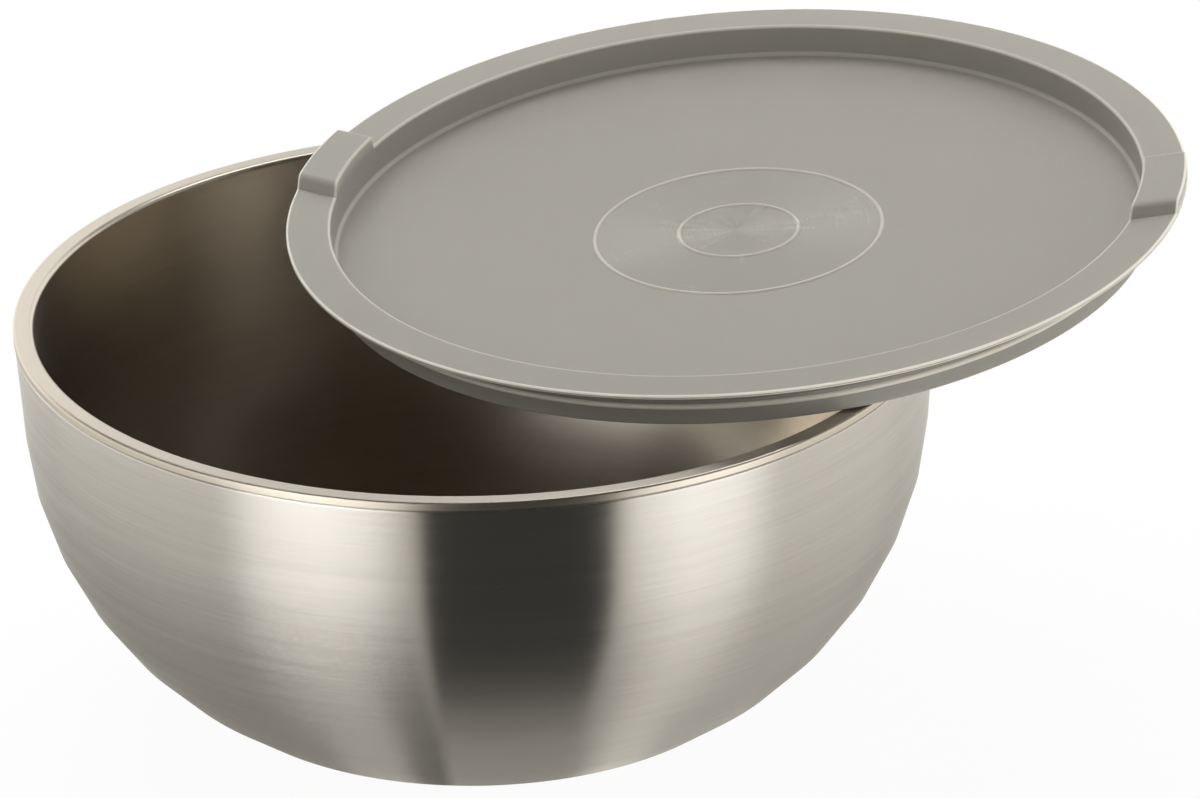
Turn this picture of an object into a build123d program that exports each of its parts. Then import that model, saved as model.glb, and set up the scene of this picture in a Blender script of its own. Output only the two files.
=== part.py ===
from build123d import *
import os
from math import cos, radians, sin, tan

# Double-walled steel bowl with a loose plastic lid that lies ajar on the rim.
# Lengths are in millimetres and angles in degrees.
# Z points up, and the origin is the middle of the base plate's underside.

# Bowl, outside
rim_diameter = 240.0
bowl_height = 110.0
base_diameter = 119.0
base_corner = 7.0
wall_height = 28.5
wall_draft = 3.8
sheet = 0.5

# Rim: the inner shell is turned outwards over the outer shell and folded down as a hem
rim_width = 5.3
rim_inner_edge = 1.4
hem_inside_radius = 0.25
hem_height = 2.0

# Shoulder below the hem, where the outer wall steps out to lie nearly flush with it
shoulder_gap = 0.3
shoulder_step = 0.5
shoulder_round = 0.65

# Bowl, inside
inner_floor_diameter = 121.0
inner_floor_height = 8.0
inner_floor_corner = 10.0

# Base plate, and the plug that closes the vent between the shells
base_plate_diameter = 98.0
base_plate_thickness = 0.8
base_plate_edge = 0.3
dimple_diameter = 20.0
dimple_depth = 1.3
vent_diameter = 4.0
vent_clearance = 0.05
vent_plug_head_diameter = 12.0
vent_plug_head_thickness = 0.9
vent_plug_reach = 1.2

# Lid: rim, sunk panel and plug wall
lid_diameter = 238.0
lid_lip_thickness = 1.1
lid_outer_edge = 0.45
lid_under_edge = 0.3
lid_rim_width = 11.7
recess_depth = 8.5
recess_edge = 0.6
recess_corner = 0.8
recess_draft = 0.4
panel_thickness = 1.5
panel_fall = 2.5
plug_wall = 2.0
plug_depth = 13.0
plug_edge = 0.5
plug_corner = 1.0

# Lid: beads on the panel and round the plug wall
large_ring_diameter = 76.2
small_ring_diameter = 31.8
ring_bead_radius = 0.8
ring_bead_rise = 0.55
plug_bead_depth = 8.0
plug_bead_radius = 0.7

# Lid: two mirrored grips, raised on the rim and hollow below. The ends of each are parallel lines, whose
# direction is counted from +X, and grip_middle is how far its middle line lies from the lid's middle.
left_grip_direction = 143.4
right_grip_direction = 7.0
grip_middle = 33.45
grip_length = 30.7
grip_height = 3.0
grip_wall = 2.0
grip_soft_edge = 3.0
grip_soft_lean = 40.0
grip_crisp_edge = 0.4
grip_crisp_lean = 5.0

# Where the lid lies: its middle is pushed away from the bowl's axis, and that side stands higher
lid_offset = 78.1
lid_direction = 27.2
lid_tilt = 4.2
lid_rest_clearance = 0.3

rim_radius = rim_diameter / 2
mouth_radius = rim_radius - rim_width
rim_outer_edge = sheet + hem_inside_radius
collar_radius = rim_radius - rim_outer_edge
base_top = base_plate_thickness
dimple_top = base_top + dimple_depth
draft_slope = tan(radians(wall_draft))
wall_direction = (-sin(radians(wall_draft)), -cos(radians(wall_draft)))

lid_radius = lid_diameter / 2
recess_radius = lid_radius - lid_rim_width
plug_radius = recess_radius + plug_wall
panel_floor = -recess_depth - panel_fall


def turned(section):
    """Turn a section, drawn as radius and height, once round the bowl's axis."""
    return revolve(Plane.XZ * section, Axis.Z)


def corner(path, radius, height):
    """The vertex of a drawn path nearest to the given radius and height."""
    return path.vertices().sort_by_distance((radius, height, 0))[0]


def pressed(path, side):
    """Sheet steel of even thickness along one side of a drawn path."""
    return turned(make_face(offset(path, sheet, side=side).edges()))


def inner_shell():
    """The inner bowl, from the hem's lower edge over the rim and down to the floor."""
    floor_radius = inner_floor_diameter / 2
    wall_foot = (mouth_radius - wall_height * draft_slope, bowl_height - wall_height)
    floor_edge = (floor_radius, inner_floor_height)
    rim = FilletPolyline(
        (rim_radius, bowl_height - hem_height),
        (rim_radius, bowl_height),
        (mouth_radius, bowl_height),
        wall_foot,
        radius=[rim_outer_edge, rim_inner_edge],
    )
    body = TangentArc(wall_foot, floor_edge, tangent=wall_direction)
    floor = Line(floor_edge, (0, inner_floor_height))
    path = Wire(rim.edges() + body.edges() + floor.edges())
    path = path.fillet_2d(inner_floor_corner, [corner(path, *floor_edge)])
    return pressed(path, Side.LEFT)


def outer_shell():
    """The outer bowl, from the collar inside the hem down to the base and its vent."""
    shoulder_top = bowl_height - hem_height - shoulder_gap
    wall_top = (collar_radius + shoulder_step, shoulder_top - shoulder_step)
    wall_bottom = bowl_height - wall_height
    wall_foot = (wall_top[0] - (wall_top[1] - wall_bottom) * draft_slope, wall_bottom)
    base_edge = (base_diameter / 2, base_top)
    collar = FilletPolyline(
        (collar_radius, bowl_height - sheet),
        (collar_radius, shoulder_top),
        wall_top,
        wall_foot,
        radius=shoulder_round,
    )
    body = TangentArc(wall_foot, base_edge, tangent=wall_direction)
    base = Polyline(
        base_edge,
        (dimple_diameter / 2, base_top),
        (dimple_diameter / 2, dimple_top),
        (0, dimple_top),
    )
    path = Wire(collar.edges() + body.edges() + base.edges())
    path = path.fillet_2d(base_corner, [corner(path, *base_edge)])
    vent = Pos(0, 0, dimple_top) * Cylinder(vent_diameter / 2, 4 * sheet)
    return pressed(path, Side.RIGHT) - vent


def base_plate():
    """The disc under the base."""
    plate = Pos(0, 0, base_plate_thickness / 2) * Cylinder(base_plate_diameter / 2, base_plate_thickness)
    return fillet(plate.edges().group_by(Axis.Z)[0], base_plate_edge)


def vent_plug():
    """A headed plug, pressed up into the vent from the dimple."""
    stem_length = sheet + vent_plug_reach
    head = Cylinder(
        vent_plug_head_diameter / 2,
        vent_plug_head_thickness,
        align=(Align.CENTER, Align.CENTER, Align.MAX),
    )
    stem = Cylinder(
        vent_diameter / 2 - vent_clearance,
        stem_length,
        align=(Align.CENTER, Align.CENTER, Align.MIN),
    )
    return Pos(0, 0, dimple_top) * (head + stem)


def bead(radius, height, section_radius):
    """A round bead that runs once round the axis."""
    return turned(Pos(radius, height) * Circle(section_radius))


def lid_moulding():
    """Rim, sunk panel and plug wall of the lid, with the rim's top face at height 0."""
    floor_radius = recess_radius - recess_draft
    large_ring_radius = large_ring_diameter / 2
    under_panel = -recess_depth - panel_thickness
    plug_inside = plug_radius - plug_wall
    path = FilletPolyline(
        (0, panel_floor),
        (large_ring_radius, panel_floor),
        (floor_radius, -recess_depth),
        (recess_radius, 0),
        (lid_radius, 0),
        (lid_radius, -lid_lip_thickness),
        (plug_radius, -lid_lip_thickness),
        (plug_radius, -plug_depth),
        (plug_inside, -plug_depth),
        (plug_inside, under_panel),
        (large_ring_radius, panel_floor - panel_thickness),
        (0, panel_floor - panel_thickness),
        radius=[
            0,
            recess_corner,
            recess_edge,
            lid_outer_edge,
            lid_under_edge,
            plug_corner,
            plug_edge,
            plug_edge,
            plug_edge,
            0,
        ],
    )
    axis_line = Line(path @ 1, path @ 0)
    body = turned(make_face(path.edges() + axis_line.edges()))
    ring_height = panel_floor + ring_bead_rise - ring_bead_radius
    body += bead(large_ring_radius, ring_height, ring_bead_radius)
    body += bead(small_ring_diameter / 2, ring_height, ring_bead_radius)
    return body + bead(plug_radius, -plug_bead_depth, plug_bead_radius)


def rim_stretch(inner_radius, outer_radius, low, high, edges, side_view):
    """The part of a ring round the axis that lies within a side view, on the +X side."""
    section = FilletPolyline(
        (inner_radius, low),
        (outer_radius, low),
        (outer_radius, high),
        (inner_radius, high),
        radius=[0, 0, *edges],
        close=True,
    )
    return turned(make_face(section.edges())) & extrude(Plane.YZ * side_view, amount=lid_diameter)


def grip_block():
    """The left grip before it is turned into place: as wide as the rim, with one soft and one crisp end."""
    soft_foot = grip_middle + grip_length / 2
    crisp_foot = grip_middle - grip_length / 2
    side_view = FilletPolyline(
        (crisp_foot, -2 * lid_lip_thickness),
        (soft_foot, -2 * lid_lip_thickness),
        (soft_foot, 0),
        (soft_foot - grip_height * tan(radians(grip_soft_lean)), grip_height),
        (crisp_foot + grip_height * tan(radians(grip_crisp_lean)), grip_height),
        (crisp_foot, 0),
        radius=[0, 0, 0, grip_soft_edge, grip_crisp_edge, 0],
        close=True,
    )
    return rim_stretch(
        recess_radius,
        lid_radius,
        -lid_lip_thickness,
        grip_height,
        (lid_outer_edge, recess_edge),
        make_face(side_view.edges()),
    )


def grip_hollow():
    """The space below the left grip, open towards the plug's side."""
    inside_top = grip_height - grip_wall
    outline = Rectangle(grip_length - 2 * grip_wall, 2 * grip_height + 2 * lid_lip_thickness)
    side_view = Pos(grip_middle, 0) * outline
    return rim_stretch(
        plug_radius,
        lid_radius - grip_wall,
        -2 * lid_lip_thickness,
        inside_top,
        (0, 0),
        side_view,
    )


def lid():
    """The whole lid, with the rim's top face at height 0."""
    block = grip_block()
    hollow = grip_hollow()
    left = Rot(Z=left_grip_direction)
    right = Rot(Z=right_grip_direction)
    body = lid_moulding() + left * block + right * mirror(block, about=Plane.XZ)
    return body - left * hollow - right * mirror(hollow, about=Plane.XZ)


def lid_place():
    """Where the lid lies: its plug's lower edge rests on the rim at two points."""
    tilt = radians(lid_tilt)
    plug_middle = lid_offset + plug_depth * sin(tilt)
    flat_radius = mouth_radius + rim_inner_edge
    to_rest_points = (flat_radius**2 - plug_radius**2 - plug_middle**2) / (2 * plug_middle * cos(tilt))
    plug_height = lid_rest_clearance - to_rest_points * sin(tilt)
    height = bowl_height + plug_height + plug_depth * cos(tilt)
    direction = radians(lid_direction)
    middle = Pos(lid_offset * cos(direction), lid_offset * sin(direction), height)
    return middle * Rot(Z=lid_direction) * Rot(Y=-lid_tilt) * Rot(Z=-lid_direction)


os.makedirs("parts", exist_ok=True)
export_step(inner_shell(), "parts/inner_shell.step")
export_step(outer_shell(), "parts/outer_shell.step")
export_step(base_plate(), "parts/base_plate.step")
export_step(vent_plug(), "parts/vent_plug.step")
export_step(lid_place() * lid(), "parts/lid.step")
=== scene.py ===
"""Looks of a double-walled satin steel bowl with a loose plastic lid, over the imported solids."""

from math import acos, asin, atan2, ceil, cos, pi, radians, sin, sqrt, tan

import bpy
from bpy.props import FloatProperty, FloatVectorProperty, IntProperty, PointerProperty
from mathutils import Matrix, Vector


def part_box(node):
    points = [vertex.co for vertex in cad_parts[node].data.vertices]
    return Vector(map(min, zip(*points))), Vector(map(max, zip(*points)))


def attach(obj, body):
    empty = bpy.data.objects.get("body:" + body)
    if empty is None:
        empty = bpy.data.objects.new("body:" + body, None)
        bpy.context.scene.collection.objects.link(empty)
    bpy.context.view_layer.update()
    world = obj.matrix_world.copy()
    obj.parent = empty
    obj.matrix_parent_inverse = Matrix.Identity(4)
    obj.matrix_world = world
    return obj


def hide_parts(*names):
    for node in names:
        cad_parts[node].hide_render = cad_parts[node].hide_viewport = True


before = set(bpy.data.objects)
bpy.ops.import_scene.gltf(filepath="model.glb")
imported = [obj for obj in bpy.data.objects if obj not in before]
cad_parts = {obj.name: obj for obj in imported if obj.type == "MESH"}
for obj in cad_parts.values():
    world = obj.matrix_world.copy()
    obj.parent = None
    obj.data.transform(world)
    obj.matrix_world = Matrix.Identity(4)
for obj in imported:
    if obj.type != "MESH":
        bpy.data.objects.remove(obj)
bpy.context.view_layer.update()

bl_info = {
    "name": "Steel bowl with lid",
    "version": (1, 0, 0),
    "blender": (4, 5, 0),
    "location": "3D View > Sidebar > Bowl",
    "description": "Makes a double-walled steel bowl and its plastic lid, with their finishes and a studio",
    "category": "Object",
}

MM = 0.001
SHARP_FROM = radians(38)  # Bend from which an edge is shaded sharp
MERGE_WITHIN = 0.002 * MM  # Points this close are merged
QUARTER_TURN = 0.25  # Of the direction in which gloss is stretched
SENSOR_WIDTH = 36.0  # Of the camera, in millimetres

# Point attributes: the lid's edges, where a highlight is painted lighter, and the tones of the reflected
# cards
PAINTED_HIGHLIGHT = "edge"
TONE = "tone"

inner_low, inner_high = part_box("inner_shell")
plate_low, plate_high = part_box("base_plate")


def length(name, millimetres, description):
    """A length property, given in millimetres and kept in metres."""
    return FloatProperty(
        name=name,
        description=description,
        default=millimetres * MM,
        precision=5,
        unit="LENGTH",
    )


def angle(name, value, description):
    """An angle property, given in degrees and kept in radians."""
    return FloatProperty(name=name, description=description, default=radians(value), subtype="ANGLE")


def share(name, value, description):
    """A property from 0 to 1."""
    return FloatProperty(
        name=name, description=description, default=value, min=0.0, max=1.0, subtype="FACTOR"
    )


def colour(name, value, description):
    """A linear colour property."""
    return FloatVectorProperty(
        name=name, description=description, default=value, size=3, min=0.0, max=1.0, subtype="COLOR"
    )


class BowlSizes(bpy.types.PropertyGroup):
    """Sizes of the two steel shells and the base plate."""

    rim_diameter: length("Rim diameter", (inner_high.x - inner_low.x) / MM, "Across the rim")
    height: length("Height", inner_high.z / MM, "From the table to the rim's top face")
    sheet: length("Sheet", 0.5, "Thickness of the pressed steel")
    wall_height: length("Wall height", 28.5, "Height of the straight upper wall")
    wall_draft: angle("Wall draft", 3.8, "How far the upper wall leans outwards")
    rim_width: length("Rim width", 5.3, "Width of the rim's flat top")
    rim_inner_edge: length("Rim inner edge", 1.4, "Rounding of the rim towards the mouth")
    hem_inside_radius: length("Hem inside radius", 0.25, "Inside rounding of the folded hem")
    hem_height: length("Hem height", 2.0, "Height of the folded hem")
    shoulder_gap: length("Shoulder gap", 0.3, "Space between the hem and the shoulder below it")
    shoulder_step: length("Shoulder step", 0.5, "How far the outer wall steps out below the hem")
    shoulder_round: length("Shoulder rounding", 0.65, "Rounding of the shoulder")
    floor_diameter: length("Floor diameter", 121.0, "Where the inner body meets the floor")
    floor_height: length("Floor height", 8.0, "Height of the inner floor")
    floor_corner: length("Floor corner", 10.0, "Rounding between inner body and floor")
    base_diameter: length("Base diameter", 119.0, "Where the outer body meets the base")
    base_corner: length("Base corner", 7.0, "Rounding between outer body and base")
    plate_diameter: length("Plate diameter", (plate_high.x - plate_low.x) / MM, "Across the base plate")
    plate_thickness: length("Plate thickness", plate_high.z / MM, "Thickness of the base plate")
    plate_edge: length("Plate edge", 0.3, "Rounding of the base plate's lower edge")
    dimple_diameter: length("Dimple diameter", 20.0, "Across the dimple in the base")
    dimple_depth: length("Dimple depth", 1.3, "Depth of the dimple in the base")
    vent_diameter: length("Vent diameter", 4.0, "Across the vent in the dimple")
    segments: IntProperty(name="Segments", description="Steps round the axis", default=288, min=24)


class LidSizes(bpy.types.PropertyGroup):
    """Sizes of the plastic lid and where it lies."""

    diameter: length("Diameter", 238.0, "Across the lid's rim")
    lip: length("Lip", 1.1, "Thickness of the rim")
    outer_edge: length("Outer edge", 0.45, "Rounding of the rim's upper outer edge")
    under_edge: length("Under edge", 0.3, "Rounding of the rim's lower outer edge")
    rim_width: length("Rim width", 11.7, "Width of the rim's top face")
    recess_depth: length("Recess depth", 8.5, "Depth of the panel's edge below the rim")
    recess_edge: length("Recess edge", 0.6, "Rounding of the rim's inner edge")
    recess_corner: length("Recess corner", 0.8, "Rounding between recess wall and panel")
    recess_draft: length("Recess draft", 0.4, "How far the recess narrows to the panel")
    panel_thickness: length("Panel thickness", 1.5, "Thickness of the panel")
    panel_fall: length("Panel fall", 2.5, "How far the panel falls to its middle")
    plug_wall: length("Plug wall", 2.0, "Thickness of the plug wall")
    plug_depth: length("Plug depth", 13.0, "Depth of the plug wall below the rim's top")
    plug_edge: length("Plug edge", 0.5, "Rounding of the plug wall's lower edges")
    plug_corner: length("Plug corner", 1.0, "Rounding between plug wall and rim")
    plug_bead_depth: length("Plug bead depth", 8.0, "Depth of the bead round the plug wall")
    plug_bead_radius: length("Plug bead radius", 0.7, "Radius of the bead round the plug wall")
    plug_line_depth: length("Plug line depth", 4.0, "Depth of the first fine line on the plug wall")
    plug_line_step: length("Plug line step", 1.1, "Distance between the fine lines")
    plug_line_cut: length("Plug line cut", 0.18, "Depth of the fine lines")
    large_ring: length("Large ring", 76.2, "Across the large ring on the panel")
    small_ring: length("Small ring", 31.8, "Across the small ring on the panel")
    ring_radius: length("Ring radius", 0.6, "Radius of the bead that makes a ring")
    ring_rise: length("Ring rise", 0.35, "How far a ring stands above the panel")
    right_grip: angle("Right grip", 7.0, "Direction of the right grip's ends, counted from +X")
    left_grip: angle("Left grip", 143.4, "Direction of the left grip's ends, counted from +X")
    grip_middle: length("Grip middle", 33.45, "From the lid's middle to a grip's middle line")
    grip_length: length("Grip length", 30.7, "Length of a raised grip at its foot")
    grip_height: length("Grip height", 3.0, "How far a grip stands above the rim")
    grip_wall: length("Grip wall", 2.0, "Wall thickness of a hollow grip")
    grip_foot: length("Grip foot", 0.2, "Rounding at the foot of a grip's ends")
    soft_edge: length("Soft edge", 3.0, "Rounding of the upper edge at a grip's soft end")
    soft_lean: angle("Soft lean", 40.0, "How far a grip's soft end leans")
    crisp_edge: length("Crisp edge", 0.4, "Rounding of the upper edge at a grip's crisp end")
    crisp_lean: angle("Crisp lean", 5.0, "How far a grip's crisp end leans")
    offset: length("Offset", 78.1, "How far the lid is pushed aside")
    direction: angle("Direction", 27.2, "Which way the lid is pushed, counted from +X")
    tilt: angle("Tilt", 4.2, "How far the pushed side stands higher")
    rest_clearance: length("Rest clearance", 0.3, "Space between the plug's edge and the bowl's rim")
    column_step: angle("Column step", 0.9, "Step round the lid between the grips")


class Finishes(bpy.types.PropertyGroup):
    """Colours and gloss of the steel and the plastic."""

    steel: colour("Steel", (0.66, 0.64, 0.605), "Colour of the steel")
    inside_steel: colour("Inside steel", (0.627, 0.576, 0.502), "Colour of the steel inside the bowl")
    steel_roughness: share("Steel roughness", 0.25, "Roughness of the brushed outside")
    inside_roughness: share("Inside roughness", 0.30, "Roughness of the turned inside")
    rim_roughness: share("Rim roughness", 0.24, "Roughness of the rim's flat top")
    plastic: colour("Plastic", (0.295, 0.281, 0.246), "Colour of the lid")
    plastic_roughness: share("Plastic roughness", 0.40, "Roughness of the lid")
    disc_roughness: share("Disc roughness", 0.26, "Roughness of the turned disc in the lid's middle")


class StudioSettings(bpy.types.PropertyGroup):
    """Camera, floor and light."""

    camera_place: FloatVectorProperty(
        name="Camera place",
        description="Where the camera stands",
        default=(0.0, -1.90588, 0.94930),
        subtype="TRANSLATION",
    )
    camera_aim: FloatVectorProperty(
        name="Camera aim",
        description="The point in the middle of the picture",
        default=(0.03223, 0.0, 0.08289),
        subtype="TRANSLATION",
    )
    camera_roll: angle("Camera roll", 0.9926, "How far the camera's right side hangs lower")
    lens: FloatProperty(
        name="Lens", description="Focal length on a 36 mm wide sensor", default=240.0, unit="CAMERA"
    )
    floor: colour("Floor", (0.86, 0.86, 0.85), "Colour of the floor")
    ceiling: colour("Ceiling", (0.032, 0.027, 0.019), "Colour of the dark ceiling in reflections")
    ambient: FloatProperty(name="Ambient", description="Light from all round", default=0.42, min=0.0)


# Drawing of sections, as radius and height

ARC_STEP = radians(10)  # Longest step along an arc
EDGE_BEND = radians(3)  # Least bend that counts as an edge
EASE = 0.12 * MM  # How close a point lies beside a rounding, on steel
LID_EASE = 0.3 * MM  # The same on the lid
SAME_POINT = 0.01 * MM  # Points closer than this are one
FAINT_HIGHLIGHT = 0.4  # Strength of the painted highlight on the lid's fainter edges


def arc(centre, radius, start, end):
    """Points along an arc between two angles."""
    steps = max(3, ceil(abs(end - start) / ARC_STEP))
    turns = [start + (end - start) * i / steps for i in range(steps + 1)]
    return [Vector((centre[0] + radius * cos(t), centre[1] + radius * sin(t))) for t in turns]


def short_turn(start, end):
    """The end angle that is reached from the start by the shorter way."""
    return start + (end - start + pi) % (2 * pi) - pi


def rounded(corners, ease=EASE):
    """A line through corners, each a radius, a height and a rounding; the ends stay sharp.

    Close before and after each rounding there is one more point, at most the given ease away."""
    points = [Vector(c[:2]) for c in corners]
    inner = list(zip(points, points[1:], points[2:]))
    halves = [(a - b).angle(c - b) / 2 for a, b, c in inner]
    reaches = [0.0, *(c[2] / tan(half) for c, half in zip(corners[1:], halves)), 0.0]
    spare = [(b - a).length - m - n for a, b, m, n in zip(points, points[1:], reaches, reaches[1:])]
    line = [points[0]]
    for i, (before, point, after) in enumerate(inner):
        rounding = corners[i + 1][2]
        if rounding == 0:
            line.append(point)
            continue
        reach = reaches[i + 1]
        back = (before - point).normalized()
        on = (after - point).normalized()
        centre = point + (back + on).normalized() * (rounding / sin(halves[i]))
        first = point + back * reach - centre
        last = point + on * reach - centre
        turn = atan2(first.y, first.x)
        line.append(point + back * (reach + min(ease, 0.4 * spare[i])))
        line += arc(centre, rounding, turn, short_turn(turn, atan2(last.y, last.x)))
        line.append(point + on * (reach + min(ease, 0.4 * spare[i + 1])))
    return line + [points[-1]]


def bends(line):
    """1 for the points of a line where it bends, and 0 where it runs straight."""
    highlight_marks = [0.0]
    for before, point, after in zip(line, line[1:], line[2:]):
        turn = (point - before).angle(after - point, 0.0)
        highlight_marks.append(1.0 if turn > EDGE_BEND else 0.0)
    return highlight_marks + [0.0]


def body_and_floor(wall_foot, draft, edge_radius, floor_height, corner):
    """The round body below a leaning wall, rounded into a flat floor that ends on the axis."""
    normal = Vector((-cos(draft), sin(draft)))
    across = Vector((edge_radius, floor_height)) - Vector(wall_foot)
    radius = across.length_squared / (2 * across.dot(normal))
    centre = Vector(wall_foot) + normal * radius
    corner_height = floor_height + corner
    corner_radius = centre.x + sqrt((radius - corner) ** 2 - (corner_height - centre.y) ** 2)
    meeting = atan2(corner_height - centre.y, corner_radius - centre.x)
    body = arc(centre, radius, -draft, meeting)
    bend = arc((corner_radius, corner_height), corner, meeting, -pi / 2)
    return body + bend[1:] + [Vector((corner_radius - EASE, floor_height)), Vector((0.0, floor_height))]


def tidy(line):
    """The line without points that lie on the point before them."""
    kept = [line[0]]
    for point in line[1:]:
        if (point - kept[-1]).length > SAME_POINT:
            kept.append(point)
    return kept


def to_left(step):
    """A step of a line, turned to the left."""
    return Vector((-step.y, step.x))


def sheet_section(line, thickness):
    """A closed outline of even thickness, behind a line that is drawn with the sheet on its left."""
    line = tidy(line)
    behind = []
    for i, point in enumerate(line):
        before = line[max(i - 1, 0)]
        after = line[min(i + 1, len(line) - 1)]
        sides = [(b - a).normalized() for a, b in ((before, point), (point, after)) if (b - a).length > 0]
        normal = sum((to_left(side) for side in sides), Vector((0.0, 0.0))).normalized()
        spread = thickness / max(0.5, normal.dot(to_left(sides[0])))
        behind.append(Vector((max(0.0, point.x + normal.x * spread), point.y + normal.y * spread)))
    return line + behind[::-1]


# Nodes


def group_node(tree, kind, settings=None, sockets=None):
    """A node with its settings, and with values or links on its input sockets."""
    node = tree.nodes.new(kind)
    for name, value in (settings or {}).items():
        setattr(node, name, value)
    for name, value in (sockets or {}).items():
        if isinstance(value, bpy.types.NodeSocket):
            tree.links.new(value, node.inputs[name])
        else:
            node.inputs[name].default_value = value
    return node


def turning_tree():
    """A node group that turns an outline, a ring of points in the XZ plane, once round the Z axis."""
    tree = bpy.data.node_groups.new("Turned piece", "GeometryNodeTree")
    for name, kind in (("Geometry", "Geometry"), ("Segments", "Int"), ("Material", "Material")):
        tree.interface.new_socket(name, in_out="INPUT", socket_type="NodeSocket" + kind)
    tree.interface.new_socket("Geometry", in_out="OUTPUT", socket_type="NodeSocketGeometry")
    given = tree.nodes.new("NodeGroupInput")
    outline = given.outputs["Geometry"]
    segments = given.outputs["Segments"]

    material = given.outputs["Material"]

    def add(kind, output, sockets=None, **settings):
        """One output of a new node."""
        return group_node(tree, kind, settings, sockets).outputs[output]

    def whole(operation, first, second):
        """A sum of whole numbers."""
        return add("FunctionNodeIntegerMath", 0, {0: first, 1: second}, operation=operation)

    points = add("GeometryNodeAttributeDomainSize", "Point Count", {"Geometry": outline}, component="MESH")
    columns = whole("ADD", segments, 1)
    grid = add("GeometryNodeMeshGrid", "Mesh", {"Vertices X": whole("ADD", points, 1), "Vertices Y": columns})
    index = add("GeometryNodeInputIndex", "Index")
    row = whole("MODULO", whole("DIVIDE_FLOOR", index, columns), points)
    column = whole("MODULO", index, columns)
    drawn = add(
        "GeometryNodeSampleIndex",
        "Value",
        {"Geometry": outline, "Value": add("GeometryNodeInputPosition", "Position"), "Index": row},
        data_type="FLOAT_VECTOR",
        domain="POINT",
    )
    part_turn = add("ShaderNodeMath", 0, {0: column, 1: segments}, operation="DIVIDE")
    turn = add("ShaderNodeMath", 0, {0: part_turn, 1: 2 * pi}, operation="MULTIPLY")
    turned = add("ShaderNodeVectorRotate", 0, {"Vector": drawn, "Angle": turn}, rotation_type="Z_AXIS")
    placed = add("GeometryNodeSetPosition", 0, {"Geometry": grid, "Position": turned})
    closed = add("GeometryNodeMergeByDistance", 0, {"Geometry": placed, "Distance": MERGE_WITHIN})
    real = add("GeometryNodeRealizeInstances", 0, {"Geometry": closed})
    finished = add("GeometryNodeSetMaterial", 0, {"Geometry": real, "Material": material})
    group_node(tree, "NodeGroupOutput", sockets={"Geometry": finished})
    return tree


def turned_mesh(name, outline, segments, material):
    """The mesh that an outline makes when it is turned round the axis."""
    area = sum(a.x * b.y - b.x * a.y for a, b in zip(outline, outline[1:] + outline[:1]))
    if area > 0:
        outline = outline[::-1]
    drawing = bpy.data.meshes.new(name + "_outline")
    count = len(outline)
    edges = [(i, (i + 1) % count) for i in range(count)]
    drawing.from_pydata([(p.x, 0.0, p.y) for p in outline], edges, [])
    maker = bpy.data.objects.new(name + "_outline", drawing)
    bpy.context.scene.collection.objects.link(maker)
    tree = bpy.data.node_groups.get("Turned piece") or turning_tree()
    modifier = maker.modifiers.new("Turn", "NODES")
    modifier.node_group = tree
    identifiers = {
        item.name: item.identifier for item in tree.interface.items_tree if item.in_out == "INPUT"
    }
    modifier[identifiers["Segments"]] = segments
    modifier[identifiers["Material"]] = material
    evaluated = maker.evaluated_get(bpy.context.evaluated_depsgraph_get())
    mesh = bpy.data.meshes.new_from_object(evaluated)
    maker.modifiers.remove(modifier)
    bpy.data.objects.remove(maker)
    if len(mesh.polygons) < count * segments / 2:
        raise RuntimeError(f"{name} has too few faces: {len(mesh.polygons)}")
    mesh.name = name
    return mesh


def finished_piece(name, mesh, material, body, node):
    """Add an object of the finished mesh that rides on a body and stands for a node."""
    if not mesh.materials:
        mesh.materials.append(material)
    mesh.shade_smooth()
    mesh.set_sharp_from_angle(angle=SHARP_FROM)
    piece = bpy.data.objects.new(name, mesh)
    bpy.context.scene.collection.objects.link(piece)
    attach(piece, body)
    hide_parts(node)


# Materials


def operator_pair(operation):
    """An operator that adds a Math node, and its reflected form."""

    def forward(self, other):
        return self.math(operation, self, other)

    def reflected(self, other):
        return self.math(operation, other, self)

    return forward, reflected


class Shade:
    """A socket of a material's nodes; sums on it add Math nodes."""

    __add__, __radd__ = operator_pair("ADD")
    __sub__, __rsub__ = operator_pair("SUBTRACT")
    __mul__, __rmul__ = operator_pair("MULTIPLY")
    __truediv__, __rtruediv__ = operator_pair("DIVIDE")

    def __init__(self, tree, socket=None):
        self.tree = tree
        self.socket = socket

    def add(self, kind, settings=None, sockets=None, output=0):
        """A new node with its settings, then values or links on its sockets; gives one output."""
        given = {n: v.socket if isinstance(v, Shade) else v for n, v in (sockets or {}).items()}
        node = group_node(self.tree, kind, settings, given)
        return Shade(self.tree, node.outputs[output])

    def math(self, operation, first, second=0.0):
        """A Math node on two values."""
        return self.add("ShaderNodeMath", {"operation": operation}, {0: first, 1: second})

    def above(self, low, high):
        """0 below low, 1 above high, and a smooth step between."""
        return self.add(
            "ShaderNodeMapRange",
            {"interpolation_type": "SMOOTHSTEP"},
            {"Value": self, "From Min": low, "From Max": high},
        )

    def noise(self, scale, detail=2.0, roughness=0.5, w=None):
        """Noise at this vector, or at this vector and a fourth value."""
        sockets = {"Vector": self, "Scale": scale, "Detail": detail, "Roughness": roughness}
        if w is not None:
            sockets["W"] = w
        dimensions = "3D" if w is None else "4D"
        return self.add("ShaderNodeTexNoise", {"noise_dimensions": dimensions}, sockets)

    def blend(self, low, high):
        """A colour between two colours, by this factor."""
        return self.add(
            "ShaderNodeMix",
            {"data_type": "RGBA"},
            {"Factor": self, 6: (*low, 1.0), 7: (*high, 1.0)},
            output=2,
        )


def new_material(name):
    """A material with one Principled shader, and the start of its nodes."""
    material = bpy.data.materials.new(name)
    material.use_nodes = True
    tree = material.node_tree
    shader = tree.nodes["Principled BSDF"]
    return material, shader, Shade(tree)


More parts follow.
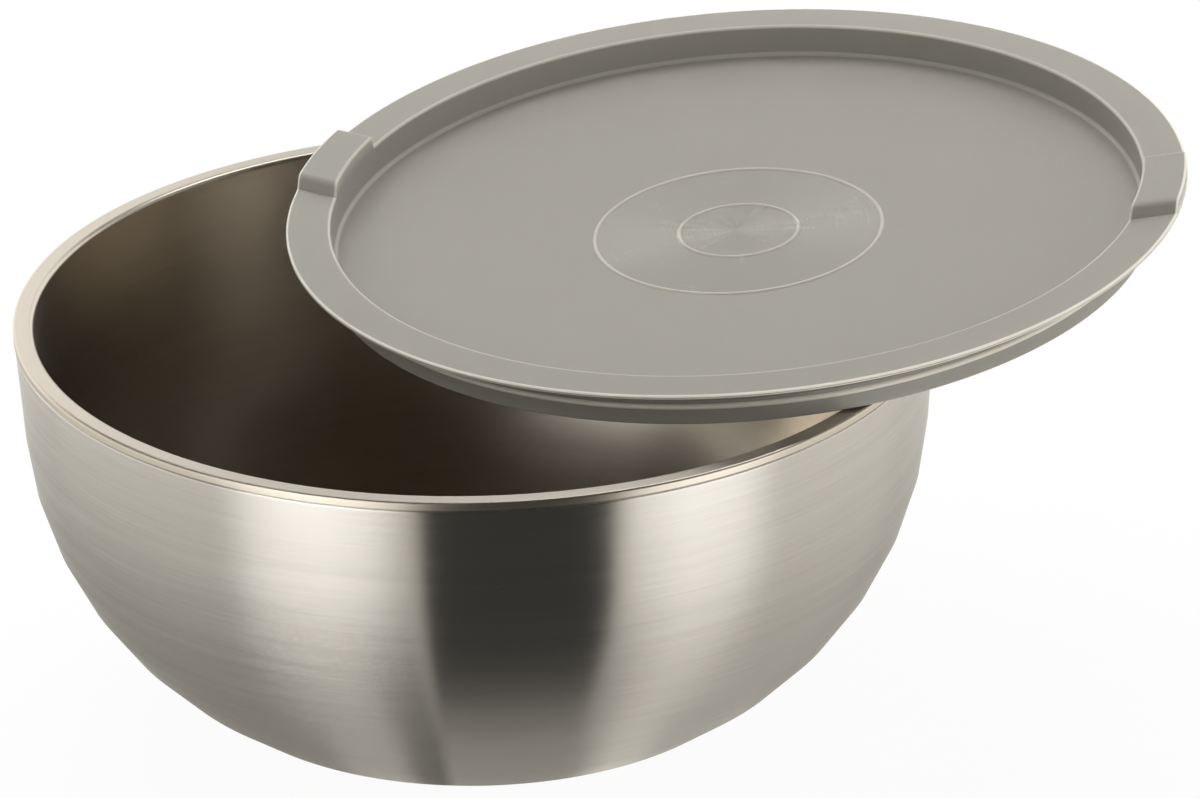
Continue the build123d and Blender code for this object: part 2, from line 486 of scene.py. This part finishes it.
def feed(shader, **sockets):
    """Set or link sockets of the shader; an underscore in a name stands for a space."""
    for name, value in sockets.items():
        socket = shader.inputs[name.replace("_", " ")]
        if isinstance(value, Shade):
            value.tree.links.new(value.socket, socket)
        else:
            socket.default_value = value


def round_axis(start, mapping=None):
    """Object coordinates as a unit direction round the axis, the radius and the height."""
    place = start.add("ShaderNodeTexCoord", output=3)
    if mapping is not None:
        place = start.add("ShaderNodeMapping", {"vector_type": "TEXTURE"}, {"Vector": place, **mapping})
    parts = start.add("ShaderNodeSeparateXYZ", sockets={"Vector": place})
    node = parts.socket.node
    x, y, z = (Shade(start.tree, node.outputs[i]) for i in range(3))
    radius = start.math("SQRT", x * x + y * y) + 1e-6
    return place, x / radius, y / radius, radius, z


def steel_material(name, tint, roughness, streak_length, brushing):
    """Satin steel of a colour, with fine lines that run round the axis."""
    material, shader, start = new_material(name)
    place, along_x, along_y, radius, height = round_axis(start)

    def streaks(fine, long, detail):
        """Noise that is fine across the lines and long along them."""
        vector = start.add(
            "ShaderNodeCombineXYZ", sockets={"X": along_x * long, "Y": along_y * long, "Z": radius * fine}
        )
        return vector.noise(1.0, detail, 0.6, w=height * fine)

    hair = streaks(1500.0, streak_length, 3.0)
    bands = streaks(260.0, streak_length * 0.5, 2.0)
    cloud = place.noise(14.0, 2.0)
    worn = place.noise(90.0, 3.0, 0.6)
    dark = tuple(c * 0.90 for c in tint)
    light = tuple(min(1.0, c * 1.06) for c in tint)
    tone = 0.5 + (hair - 0.5) * 0.9 + (bands - 0.5) * 0.7
    gloss = roughness + (bands - 0.5) * 0.06 + (hair - 0.5) * 0.06
    gloss = gloss + (cloud - 0.5) * 0.03 + (worn - 0.5) * 0.03
    relief = start.add(
        "ShaderNodeBump",
        sockets={"Strength": 0.35, "Distance": 0.02 * MM, "Height": hair * 0.7 + bands * 0.6},
    )
    feed(
        shader,
        Base_Color=tone.blend(dark, light),
        Metallic=1.0,
        Roughness=gloss,
        Normal=relief,
        Anisotropic=brushing,
        Anisotropic_Rotation=QUARTER_TURN,
    )
    return material


def plastic_material(name, lid_frame, roughness, turning):
    """Satin moulded plastic that lets a little light through, with a highlight painted lighter along its
    edges.
    """
    finishes = bpy.context.scene.bowl_finishes
    sizes = bpy.context.scene.lid_sizes
    material, shader, start = new_material(name)
    mapping = {"Location": lid_frame.to_translation(), "Rotation": lid_frame.to_euler("XYZ")}
    place, along_x, along_y, radius, _ = round_axis(start, mapping)
    gate = 1.0 - radius.above(sizes.small_ring * 0.5, sizes.large_ring * 0.5)
    if turning:
        grain = start.add("ShaderNodeCombineXYZ", sockets={"X": radius}).noise(3500.0, 2.0)
    else:
        grain = place.noise(2600.0, 2.0)
    mottle = place.noise(60.0, 3.0)
    spokes = start.add("ShaderNodeCombineXYZ", sockets={"X": along_x, "Y": along_y}).noise(3.4, 2.0)
    dark = tuple(c * 0.95 for c in finishes.plastic)
    light = tuple(c * 1.05 for c in finishes.plastic)
    # Spokes on the turned disc vary its roughness and also its tone, where they are a painted sheen
    swirl_and_painted_sheen = (spokes - 0.5) * gate
    tone = 0.5 + (mottle - 0.5) * 0.6 + (grain - 0.5) * 0.5 + swirl_and_painted_sheen * 0.3
    gloss = roughness + (mottle - 0.5) * 0.08 + (grain - 0.5) * 0.06 + swirl_and_painted_sheen * 0.08
    relief = start.add("ShaderNodeBump", sockets={"Strength": 0.12, "Distance": 0.03 * MM, "Height": grain})
    # The lid's edges are painted lighter, a painted highlight along them
    edge = start.add("ShaderNodeAttribute", {"attribute_name": PAINTED_HIGHLIGHT}, output=2)
    painted_highlight_colour = (*(c * 2.2 for c in finishes.plastic), 1.0)
    colours = {"Factor": edge, 6: tone.blend(dark, light), 7: painted_highlight_colour}
    feed(
        shader,
        Base_Color=start.add("ShaderNodeMix", {"data_type": "RGBA"}, colours, output=2),
        Roughness=gloss,
        Normal=relief,
        IOR=1.5,
        Subsurface_Weight=1.0,
        Subsurface_Radius=(1.0, 0.95, 0.86),
        Subsurface_Scale=2.8 * MM,
        Anisotropic=turning,
        Anisotropic_Rotation=QUARTER_TURN,
    )
    return material


# Pieces


class OBJECT_OT_inner_shell(bpy.types.Operator):
    """Turn the inner shell, with its rim and hem"""

    bl_idname = "object.bowl_inner_shell"
    bl_label = "Inner shell"

    def execute(self, context):
        sizes = context.scene.bowl_sizes
        finishes = context.scene.bowl_finishes
        rim = sizes.rim_diameter / 2
        mouth = rim - sizes.rim_width
        wall_foot = (mouth - sizes.wall_height * tan(sizes.wall_draft), sizes.height - sizes.wall_height)
        edge = rounded(
            [
                (rim, sizes.height - sizes.hem_height, 0),
                (rim, sizes.height, sizes.sheet + sizes.hem_inside_radius),
                (mouth, sizes.height, sizes.rim_inner_edge),
                (*wall_foot, 0),
            ]
        )
        body = body_and_floor(
            wall_foot, sizes.wall_draft, sizes.floor_diameter / 2, sizes.floor_height, sizes.floor_corner
        )
        outline = sheet_section(edge + body, sizes.sheet)
        material = steel_material(
            "turned_steel", finishes.inside_steel, finishes.inside_roughness, streak_length=2.0, brushing=0.5
        )
        mesh = turned_mesh("inner_shell_steel", outline, sizes.segments, material)
        rim_material = steel_material(
            "rim_steel", finishes.steel, finishes.rim_roughness, streak_length=2.0, brushing=0.0
        )
        mesh.materials.append(rim_material)
        for face in mesh.polygons:
            if face.center.z > sizes.height - sizes.hem_height and face.center.xy.length > mouth:
                face.material_index = 1
        finished_piece("inner_shell_steel", mesh, material, "bowl", "inner_shell")
        return {"FINISHED"}


class OBJECT_OT_outer_shell(bpy.types.Operator):
    """Turn the outer shell, from the collar inside the hem to the base"""

    bl_idname = "object.bowl_outer_shell"
    bl_label = "Outer shell"

    def execute(self, context):
        sizes = context.scene.bowl_sizes
        finishes = context.scene.bowl_finishes
        collar = sizes.rim_diameter / 2 - sizes.sheet - sizes.hem_inside_radius
        shoulder = sizes.height - sizes.hem_height - sizes.shoulder_gap
        wall_top = (collar + sizes.shoulder_step, shoulder - sizes.shoulder_step)
        wall_bottom = sizes.height - sizes.wall_height
        wall_foot = (wall_top[0] - (wall_top[1] - wall_bottom) * tan(sizes.wall_draft), wall_bottom)
        edge = rounded(
            [
                (collar, sizes.height - sizes.sheet, 0),
                (collar, shoulder, sizes.shoulder_round),
                (*wall_top, sizes.shoulder_round),
                (*wall_foot, 0),
            ]
        )
        base = sizes.plate_thickness
        body = body_and_floor(
            wall_foot, sizes.wall_draft, sizes.base_diameter / 2, base, sizes.base_corner
        )
        dimple = sizes.dimple_diameter / 2
        vent = sizes.vent_diameter / 2
        floor = [
            Vector((dimple, base)),
            Vector((dimple, base + sizes.dimple_depth)),
            Vector((vent, base + sizes.dimple_depth)),
        ]
        line = (edge + body[:-1] + floor)[::-1]
        outline = sheet_section(line, sizes.sheet)
        material = steel_material(
            "brushed_steel", finishes.steel, finishes.steel_roughness, streak_length=3.0, brushing=1.0
        )
        mesh = turned_mesh("outer_shell_steel", outline, sizes.segments, material)
        finished_piece("outer_shell_steel", mesh, material, "bowl", "outer_shell")
        return {"FINISHED"}


class OBJECT_OT_base_plate(bpy.types.Operator):
    """Turn the base plate and finish the plug above it"""

    bl_idname = "object.bowl_base_plate"
    bl_label = "Base plate"

    def execute(self, context):
        sizes = context.scene.bowl_sizes
        finishes = context.scene.bowl_finishes
        radius = sizes.plate_diameter / 2
        outline = tidy(
            rounded(
                [
                    (0.0, 0.0, 0),
                    (radius, 0.0, sizes.plate_edge),
                    (radius, sizes.plate_thickness, 0),
                    (0.0, sizes.plate_thickness, 0),
                ]
            )
        )
        material = steel_material(
            "plate_steel", finishes.steel, finishes.inside_roughness, streak_length=2.0, brushing=0.4
        )
        mesh = turned_mesh("base_plate_steel", outline, sizes.segments, material)
        finished_piece("base_plate_steel", mesh, material, "bowl", "base_plate")
        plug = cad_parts["vent_plug"]
        plug.data.materials.clear()
        plug.data.materials.append(material)
        return {"FINISHED"}


def lid_place(bowl, lid):
    """Where the lid lies: its plug's lower edge rests on the rim at two points."""
    plug = lid.diameter / 2 - lid.rim_width + lid.plug_wall
    plug_middle = lid.offset + lid.plug_depth * sin(lid.tilt)
    flat = bowl.rim_diameter / 2 - bowl.rim_width + bowl.rim_inner_edge
    to_rest = (flat**2 - plug**2 - plug_middle**2) / (2 * plug_middle * cos(lid.tilt))
    height = bowl.height + lid.rest_clearance - to_rest * sin(lid.tilt) + lid.plug_depth * cos(lid.tilt)
    middle = (lid.offset * cos(lid.direction), lid.offset * sin(lid.direction), height)
    return (
        Matrix.Translation(middle)
        @ Matrix.Rotation(lid.direction, 4, "Z")
        @ Matrix.Rotation(-lid.tilt, 4, "Y")
        @ Matrix.Rotation(-lid.direction, 4, "Z")
    )


def ring_bead(radius, floor, bead_radius, rise):
    """The part of a round bead that stands above the panel."""
    lift = bead_radius - rise
    half = acos(lift / bead_radius)
    return arc((radius, floor - lift), bead_radius, pi / 2 + half, pi / 2 - half)


def lid_section(lid):
    """Points of the lid's section, from the panel's middle over the rim to the panel's underside.

    Each point has its radius, its height, its shares of a grip's rise and of a grip's hollow, and the
    strength of the painted highlight, above 0 on an edge."""
    rim = lid.diameter / 2
    recess = rim - lid.rim_width
    plug = recess + lid.plug_wall
    floor = -lid.recess_depth - lid.panel_fall
    large = lid.large_ring / 2
    panel = [Vector((0.0, floor))]
    for radius in (lid.small_ring / 2, large):
        bead = ring_bead(radius, floor, lid.ring_radius, lid.ring_rise)
        panel += [bead[0] - Vector((EASE, 0.0)), *bead, bead[-1] + Vector((EASE, 0.0))]
    start = panel[-1]
    top = rounded(
        [
            (start.x, start.y, 0),
            (recess - lid.recess_draft, -lid.recess_depth, lid.recess_corner),
            (recess, 0.0, lid.recess_edge),
            (rim, 0.0, lid.outer_edge),
            (rim, -lid.lip, lid.under_edge),
            (rim - lid.grip_wall, -lid.lip, 0),
        ],
        LID_EASE,
    )[1:]
    under = rounded(
        [
            (rim - lid.grip_wall - EASE, -lid.lip, 0),
            (plug, -lid.lip, lid.plug_corner),
            (plug, -lid.plug_line_depth + lid.plug_line_step / 2, 0),
        ]
    )
    lines = []
    for i in range(3):
        depth = -lid.plug_line_depth - i * lid.plug_line_step
        cut = lid.plug_line_cut
        lines += [Vector((plug, depth + cut)), Vector((plug - cut, depth)), Vector((plug, depth - cut))]
    bead = arc((plug, -lid.plug_bead_depth), lid.plug_bead_radius, pi / 2, -pi / 2)
    bead = [Vector((plug, bead[0].y + EASE)), *bead, Vector((plug, bead[-1].y - EASE))]
    inside = plug - lid.plug_wall
    bottom = rounded(
        [
            (plug, bead[-1].y, 0),
            (plug, -lid.plug_depth, lid.plug_edge),
            (inside, -lid.plug_depth, lid.plug_edge),
            (inside, -lid.recess_depth - lid.panel_thickness, lid.plug_edge),
            (large, floor - lid.panel_thickness, 0),
            (0.0, floor - lid.panel_thickness, 0),
        ]
    )[1:]
    section = [(p.x, p.y, 0.0, 0.0, FAINT_HIGHLIGHT * highlight_mark) for p, highlight_mark in zip(panel, bends(panel))]
    raised_from = -lid.outer_edge - 2 * EASE
    for p, highlight_mark in zip(top, bends(top)):
        on_rim = p.x > recess - lid.recess_draft / 2 and p.y > raised_from
        on_lip = p.x > rim - 2 * lid.outer_edge
        section.append((p.x, p.y, 1.0 if on_rim else 0.0, 0.0, highlight_mark if on_lip else FAINT_HIGHLIGHT * highlight_mark))
    section += [(p.x, p.y, 0.0, 1.0, 0.0) for p in under[:-1]]
    section.append((under[-1].x, under[-1].y, 0.0, 0.0, 0.0))
    section += [(p.x, p.y, 0.0, 0.0, 0.0) for p in lines]
    section += [(p.x, p.y, 0.0, 0.0, highlight_mark) for p, highlight_mark in zip(bead, bends(bead))]
    return section + [(p.x, p.y, 0.0, 0.0, 0.0) for p in bottom]


def grip_columns(lid):
    """Columns across a grip from its crisp to its soft end.

    Each is a distance, a rise, a hollow share and the strength of a painted highlight on the crisp end's
    upper edge."""
    crisp = lid.grip_middle - lid.grip_length / 2
    soft = lid.grip_middle + lid.grip_length / 2
    margin = 5 * lid.grip_foot
    profile = rounded(
        [
            (crisp - margin, 0.0, 0),
            (crisp, 0.0, lid.grip_foot),
            (crisp + lid.grip_height * tan(lid.crisp_lean), lid.grip_height, lid.crisp_edge),
            (soft - lid.grip_height * tan(lid.soft_lean), lid.grip_height, lid.soft_edge),
            (soft, 0.0, lid.grip_foot),
            (soft + margin, 0.0, 0),
        ]
    )

    def rise(distance):
        """Height of the profile at a distance."""
        for a, b in zip(profile, profile[1:]):
            if a.x <= distance <= b.x:
                return a.y + (b.y - a.y) * (distance - a.x) / max(b.x - a.x, EASE / 100)
        return 0.0

    first, last = crisp + lid.grip_wall, soft - lid.grip_wall
    columns = []
    for p, highlight_mark in zip(profile, bends(profile)):
        crisp_edge = p.x < first and p.y > lid.grip_height / 2
        hollow = 1.0 if first <= p.x <= last else 0.0
        columns.append((p.x, p.y, hollow, FAINT_HIGHLIGHT * highlight_mark if crisp_edge else 0.0))
    steps = 12
    inner = [first + (last - first) * i / steps for i in range(1, steps)]
    columns += [(d, rise(d), 1.0, 0.0) for d in (first + EASE, *inner, last - EASE)]
    columns += [(d, rise(d), 0.0, 0.0) for d in (first, last)]
    return sorted(columns)


def lid_columns(lid):
    """Columns round the lid, each an angle, a distance beside it, a rise, a hollow share and a painted
    highlight's strength.

    Between grips the distance is 0. On a grip the angle is the grip's, and the columns run side by side."""
    rim = lid.diameter / 2
    recess = rim - lid.rim_width
    grip = grip_columns(lid)
    right = [(lid.right_grip, -d, *rest) for d, *rest in reversed(grip)]
    left = [(lid.left_grip, d, *rest) for d, *rest in grip]
    columns = []
    for here, following, full_turn in ((right, left, 0.0), (left, right, 2 * pi)):
        columns += here
        start = max(here[-1][0] + asin(here[-1][1] / r) for r in (recess, rim)) + lid.column_step / 2
        stop = min(following[0][0] + asin(following[0][1] / r) for r in (recess, rim)) - lid.column_step / 2
        stop += full_turn
        steps = ceil((stop - start) / lid.column_step)
        columns += [(start + (stop - start) * i / steps, 0.0, 0.0, 0.0, 0.0) for i in range(steps + 1)]
    return columns


def lid_mesh(lid, place):
    """The lid's mesh: the section in every column, with both ends closed on the axis."""
    recess = lid.diameter / 2 - lid.rim_width
    lift = lid.grip_height - lid.grip_wall + lid.lip
    section = lid_section(lid)
    columns = lid_columns(lid)
    rows, count = len(section), len(columns)
    points, highlight_marks = [], []
    for radius, height, rise, hollow, highlight_mark in section[1:-1]:
        for turn, beside, column_rise, column_hollow, column_highlight_mark in columns:
            theta = turn + asin(beside / max(radius, recess))
            z = height + rise * column_rise + hollow * column_hollow * lift
            points.append(place @ Vector((radius * cos(theta), radius * sin(theta), z)))
            highlight_marks.append(max(highlight_mark, rise * column_highlight_mark))
    faces = []
    for i in range(rows - 3):
        for j in range(count):
            k = (j + 1) % count
            low, high = i * count, (i + 1) * count
            faces.append((low + j, high + j, high + k, low + k))
    top, bottom = len(points), len(points) + 1
    points.append(place @ Vector((0.0, 0.0, section[0][1])))
    points.append(place @ Vector((0.0, 0.0, section[-1][1])))
    last = (rows - 3) * count
    for j in range(count):
        k = (j + 1) % count
        faces.append((top, j, k))
        faces.append((bottom, last + k, last + j))
    mesh = bpy.data.meshes.new("lid_plastic")
    mesh.from_pydata(points, [], faces)
    if mesh.validate():
        raise RuntimeError("the lid's mesh has broken faces")
    # The strength of the painted highlight along the lid's edges, on every point
    layer = mesh.attributes.new(PAINTED_HIGHLIGHT, "FLOAT", "POINT")
    layer.data.foreach_set("value", highlight_marks + [0.0, 0.0])
    return mesh


class OBJECT_OT_lid(bpy.types.Operator):
    """Mould the lid, with its panel, grips and plug wall"""

    bl_idname = "object.bowl_lid"
    bl_label = "Lid"

    def execute(self, context):
        lid = context.scene.lid_sizes
        place = lid_place(context.scene.bowl_sizes, lid)
        mesh = lid_mesh(lid, place)
        finishes = context.scene.bowl_finishes
        material = plastic_material("satin_plastic", place, finishes.plastic_roughness, turning=0.0)
        mesh.materials.append(material)
        disc_material = plastic_material("turned_plastic", place, finishes.disc_roughness, turning=0.9)
        mesh.materials.append(disc_material)
        to_middle = place.inverted()
        disc = lid.large_ring / 2 - lid.ring_radius
        inside_panel = -lid.recess_depth - lid.panel_fall - lid.panel_thickness / 2
        for face in mesh.polygons:
            here = to_middle @ face.center
            if here.xy.length < disc and here.z > inside_panel:
                face.material_index = 1
        finished_piece("lid_plastic", mesh, material, "lid", "lid")
        return {"FINISHED"}


# Stage


# Tones of the light tent: direction in degrees, near and far distance, then near, far, middle and upper tone
# The dim near tone round the bowl's foot is a painted shadow of the bowl on the table, as it shows in
# reflections
TENT = (
    (-180.0, 0.10, 0.60, 0.38, 1.30, 1.30, 1.30),
    (-126.0, 0.10, 0.60, 0.30, 1.30, 1.30, 1.30),
    (-124.0, 0.10, 0.50, 0.30, 1.20, 0.84, 0.84),
    (-66.0, 0.10, 0.50, 0.30, 1.20, 0.30, 0.84),
    (-57.0, 0.10, 0.42, 0.42, 1.70, 0.30, 6.00),
    (-48.0, 0.10, 0.42, 0.46, 2.08, 0.30, 6.00),
    (-38.0, 0.10, 0.42, 0.46, 2.15, 0.30, 6.00),
    (-34.0, 0.10, 0.42, 0.40, 2.05, 0.30, 6.00),
    (-27.0, 0.10, 0.42, 0.22, 1.90, 0.30, 5.00),
    (-19.0, 0.10, 0.40, 0.18, 1.15, 0.30, 2.50),
    (-13.0, 0.09, 0.15, 0.40, 0.05, 0.05, 0.05),
    (31.5, 0.09, 0.15, 0.40, 0.05, 0.05, 0.05),
    (38.0, 0.10, 0.46, 0.42, 1.62, 0.30, 1.20),
    (50.0, 0.10, 0.46, 0.68, 2.05, 0.30, 1.50),
    (54.0, 0.10, 0.46, 0.74, 2.10, 0.30, 1.50),
    (66.0, 0.10, 0.46, 0.70, 2.00, 0.30, 1.50),
    (78.0, 0.10, 0.50, 0.52, 1.15, 0.30, 0.86),
    (124.0, 0.10, 0.50, 0.52, 1.15, 0.86, 0.86),
    (126.0, 0.10, 0.60, 0.45, 1.30, 1.30, 1.30),
    (180.0, 0.10, 0.60, 0.38, 1.30, 1.30, 1.30),
)
# The tent's cloth lies just above the table round the bowl's foot, and stands up at its wall
TENT_FOOT = 0.1
TENT_WALL = 1.2
TENT_CLOTH = 0.3 * MM
TENT_MIDDLE = 0.31
TENT_UPPER = 0.59
TENT_TOP = 0.85
TENT_FADE = 0.01

# Lamps: name, place, width, height and power; they point at the bowl
LAMPS_AIM = (0.05, 0.0, 0.08)
LAMPS = (
    ("soft_top", (0.0, 0.75, 1.15), 1.3, 0.7, 14.4),
    ("soft_front", (0.2, -2.2, 0.9), 1.2, 0.8, 7.0),
    ("soft_left", (-1.5, -0.3, 1.0), 0.7, 0.7, 4.0),
    ("soft_right", (1.6, -0.6, 0.6), 0.7, 0.7, 7.0),
)


def seen(start):
    """1 for rays from the camera, off gloss and through glass, and 0 for others."""
    path = start.add("ShaderNodeLightPath").socket.node
    camera, glossy, through = (
        Shade(start.tree, path.outputs[n]) for n in ("Is Camera Ray", "Is Glossy Ray", "Is Transmission Ray")
    )
    return camera, start.math("MAXIMUM", camera, start.math("MAXIMUM", glossy, through))


def sheet_object(name, points, faces, material):
    """A sheet of the stage."""
    mesh = bpy.data.meshes.new(name)
    mesh.from_pydata(points, [], faces)
    mesh.materials.append(material)
    sheet = bpy.data.objects.new(name, mesh)
    bpy.context.scene.collection.objects.link(sheet)
    return sheet


def level_sheet(name, left, right, front, back, height, material):
    """A level sheet with straight edges."""
    points = [(left, front, height), (right, front, height), (right, back, height), (left, back, height)]
    return sheet_object(name, points, [(0, 1, 2, 3)], material)


def glow_material(name):
    """A card that shines with the tones painted on its points."""
    material = bpy.data.materials.new(name)
    material.use_nodes = True
    tree = material.node_tree
    tree.nodes.remove(tree.nodes["Principled BSDF"])
    start = Shade(tree)
    tone = start.add("ShaderNodeAttribute", {"attribute_name": TONE})
    glow = start.add("ShaderNodeEmission", sockets={"Color": tone})
    tree.links.new(glow.socket, tree.nodes["Material Output"].inputs["Surface"])
    return material


def paint(sheet, tones):
    """Paint a tone on every point of a card."""
    layer = sheet.data.attributes.new(TONE, "FLOAT_COLOR", "POINT")
    for item, tone in zip(layer.data, tones):
        item.color = (*tone, 1.0)


def reflected_only(sheet):
    """A card that shows only in reflections."""
    for ray in ("camera", "diffuse", "transmission", "shadow", "volume_scatter"):
        setattr(sheet, "visible_" + ray, False)


def eased(value, low, high):
    """0 below low, 1 above high, and a smooth step between."""
    part = max(0.0, min(1.0, (value - low) / (high - low)))
    return part * part * (3 - 2 * part)


def warm_white(tone):
    """The slightly warm white of the cards, at a tone, and warmer where it is dim."""
    warmth = 1 - eased(tone, 0.7, 1.6)
    return (tone, tone * (0.985 - 0.02 * warmth), tone * (0.96 - 0.08 * warmth))


def tent_tone(turn, distance, height):
    """Tone of the tent in a mirrored direction, at a distance from the bowl's axis and a height."""
    for (first, *low), (second, *high) in zip(TENT, TENT[1:]):
        if first <= turn <= second:
            part = (turn - first) / (second - first)
            near, far, *tones = (a + (b - a) * part for a, b in zip(low, high))
            near_painted_shadow_tone, far_tone, middle_tone, upper_tone = tones
            if height > TENT_MIDDLE:
                return upper_tone if height > TENT_UPPER else middle_tone
            # Dimmer near the bowl's foot: a painted shadow of the bowl on the table
            return near_painted_shadow_tone + (far_tone - near_painted_shadow_tone) * eased(distance, near, far)
    raise RuntimeError(f"the tent has no tone at {turn}")


def light_tent():
    """A light tent round the bowl: it lies on the table and stands up at the tent's wall.

    It is drawn by the directions in which the bowl's wall mirrors it, counted from the camera's side to the
    right."""
    near_rows = [0.05 + 0.01 * i for i in range(35)]
    rows = [(distance, TENT_CLOTH) for distance in (*near_rows, 0.5, 0.7, TENT_WALL)]
    for seam in (TENT_MIDDLE, TENT_UPPER):
        rows += [(TENT_WALL, seam - TENT_FADE), (TENT_WALL, seam + TENT_FADE)]
    rows.append((TENT_WALL, TENT_TOP))
    turns = [t / 2 for t in range(-360, 361)]
    points, tones = [], []
    for degrees in turns:
        turn = radians(degrees)
        for distance, height in rows:
            start, reach = min(distance, TENT_FOOT), max(0.0, distance - TENT_FOOT)
            x = start * sin(turn / 2) + reach * sin(turn)
            y = -start * cos(turn / 2) - reach * cos(turn)
            points.append((x, y, height))
            tones.append(warm_white(tent_tone(degrees, sqrt(x * x + y * y), height)))
    count = len(rows)
    faces = [
        (k, k + 1, k + count + 1, k + count)
        for i in range(len(turns) - 1)
        for k in range(count * i, count * i + count - 1)
    ]
    tent = sheet_object("light_tent", points, faces, glow_material("tent_cloth"))
    paint(tent, tones)
    reflected_only(tent)


def overhead_card(name, left, right, front, back, height, tone):
    """A level card above the bowl that shows only in reflections."""
    card = level_sheet(name, left, right, front, back, height, glow_material(name))
    paint(card, [tone] * 4)
    reflected_only(card)


def soft_light(name, place, width, height, power):
    """A soft box lamp that points at the bowl and doesn't show in reflections."""
    data = bpy.data.lights.new(name, "AREA")
    data.shape = "RECTANGLE"
    data.size = width
    data.size_y = height
    data.energy = power
    lamp = bpy.data.objects.new(name, data)
    lamp.location = place
    lamp.rotation_euler = (Vector(LAMPS_AIM) - Vector(place)).to_track_quat("-Z", "Y").to_euler()
    lamp.visible_glossy = False
    bpy.context.scene.collection.objects.link(lamp)


class OBJECT_OT_studio(bpy.types.Operator):
    """Set the floor, the light and the camera"""

    bl_idname = "object.bowl_studio"
    bl_label = "Studio"

    def execute(self, context):
        scene = context.scene
        studio = scene.studio_settings
        self.set_world(scene, studio)
        self.set_floor(studio)
        self.set_light(studio)
        self.set_camera(scene, studio)
        scene.view_settings.view_transform = "Standard"
        return {"FINISHED"}

    def set_world(self, scene, studio):
        world = bpy.data.worlds.new("Studio")
        scene.world = world
        world.use_nodes = True
        start = Shade(world.node_tree)
        _, shown = seen(start)
        background = world.node_tree.nodes["Background"]
        feed(background, Color=(1.0, 1.0, 1.0, 1.0), Strength=studio.ambient + shown * (1.0 - studio.ambient))

    def set_floor(self, studio):
        material, shader, start = new_material("pale_floor")
        feed(shader, Base_Color=(*studio.floor, 1.0), Roughness=0.9, Specular_IOR_Level=0.1)
        camera, _ = seen(start)
        white = start.add("ShaderNodeEmission", sockets={"Color": (1.0, 1.0, 1.0, 1.0), "Strength": 1.0})
        shaders = {"Fac": camera * 0.95, 1: shader.outputs["BSDF"], 2: white}
        mixed = start.add("ShaderNodeMixShader", sockets=shaders)
        start.tree.links.new(mixed.socket, start.tree.nodes["Material Output"].inputs["Surface"])
        level_sheet("floor", -6.0, 6.0, -6.0, 6.0, -0.1 * MM, material)

    def set_light(self, studio):
        for lamp in LAMPS:
            soft_light(*lamp)
        light_tent()
        overhead_card("dark_ceiling", -3.0, 3.0, -3.0, 1.5, 1.2, studio.ceiling)
        overhead_card("card_back_left", -0.75, 0.05, 0.30, 0.75, 1.15, warm_white(1.7))
        overhead_card("card_back_right", 0.05, 0.75, 0.30, 0.75, 1.15, warm_white(3.3))

    def set_camera(self, scene, studio):
        place = Vector(studio.camera_place)
        ahead = (Vector(studio.camera_aim) - place).normalized()
        level_right = ahead.cross(Vector((0.0, 0.0, 1.0))).normalized()
        level_down = ahead.cross(level_right)
        right = level_right * cos(studio.camera_roll) + level_down * sin(studio.camera_roll)
        up = right.cross(ahead)
        data = bpy.data.cameras.new("Camera")
        data.lens = studio.lens
        data.sensor_width = SENSOR_WIDTH
        data.sensor_fit = "HORIZONTAL"
        data.clip_end = 50.0
        camera = bpy.data.objects.new("Camera", data)
        turn = Matrix((right, up, -ahead)).transposed().to_4x4()
        camera.matrix_world = Matrix.Translation(place) @ turn
        scene.collection.objects.link(camera)
        scene.camera = camera


class VIEW3D_PT_bowl(bpy.types.Panel):
    """Sizes, finishes and makers of the bowl"""

    bl_label = "Steel bowl with lid"
    bl_idname = "VIEW3D_PT_bowl"
    bl_space_type = "VIEW_3D"
    bl_region_type = "UI"
    bl_category = "Bowl"

    def draw(self, context):
        scene = context.scene
        for group in (scene.bowl_sizes, scene.lid_sizes, scene.bowl_finishes, scene.studio_settings):
            column = self.layout.column(heading=group.bl_rna.name)
            for name in group.__annotations__:
                column.prop(group, name)
        for operator in OPERATORS:
            self.layout.operator(operator.bl_idname)


OPERATORS = (
    OBJECT_OT_inner_shell,
    OBJECT_OT_outer_shell,
    OBJECT_OT_base_plate,
    OBJECT_OT_lid,
    OBJECT_OT_studio,
)
GROUPS = {
    "bowl_sizes": BowlSizes,
    "lid_sizes": LidSizes,
    "bowl_finishes": Finishes,
    "studio_settings": StudioSettings,
}


def register():
    for group in GROUPS.values():
        bpy.utils.register_class(group)
    for name, group in GROUPS.items():
        setattr(bpy.types.Scene, name, PointerProperty(type=group))
    for operator in OPERATORS:
        bpy.utils.register_class(operator)
    bpy.utils.register_class(VIEW3D_PT_bowl)


def unregister():
    bpy.utils.unregister_class(VIEW3D_PT_bowl)
    for operator in reversed(OPERATORS):
        bpy.utils.unregister_class(operator)
    for name in GROUPS:
        delattr(bpy.types.Scene, name)
    for group in reversed(GROUPS.values()):
        bpy.utils.unregister_class(group)


def main():
    register()
    bpy.ops.object.bowl_inner_shell()
    bpy.ops.object.bowl_outer_shell()
    bpy.ops.object.bowl_base_plate()
    bpy.ops.object.bowl_lid()
    bpy.ops.object.bowl_studio()


if __name__ == "__main__":
    main()
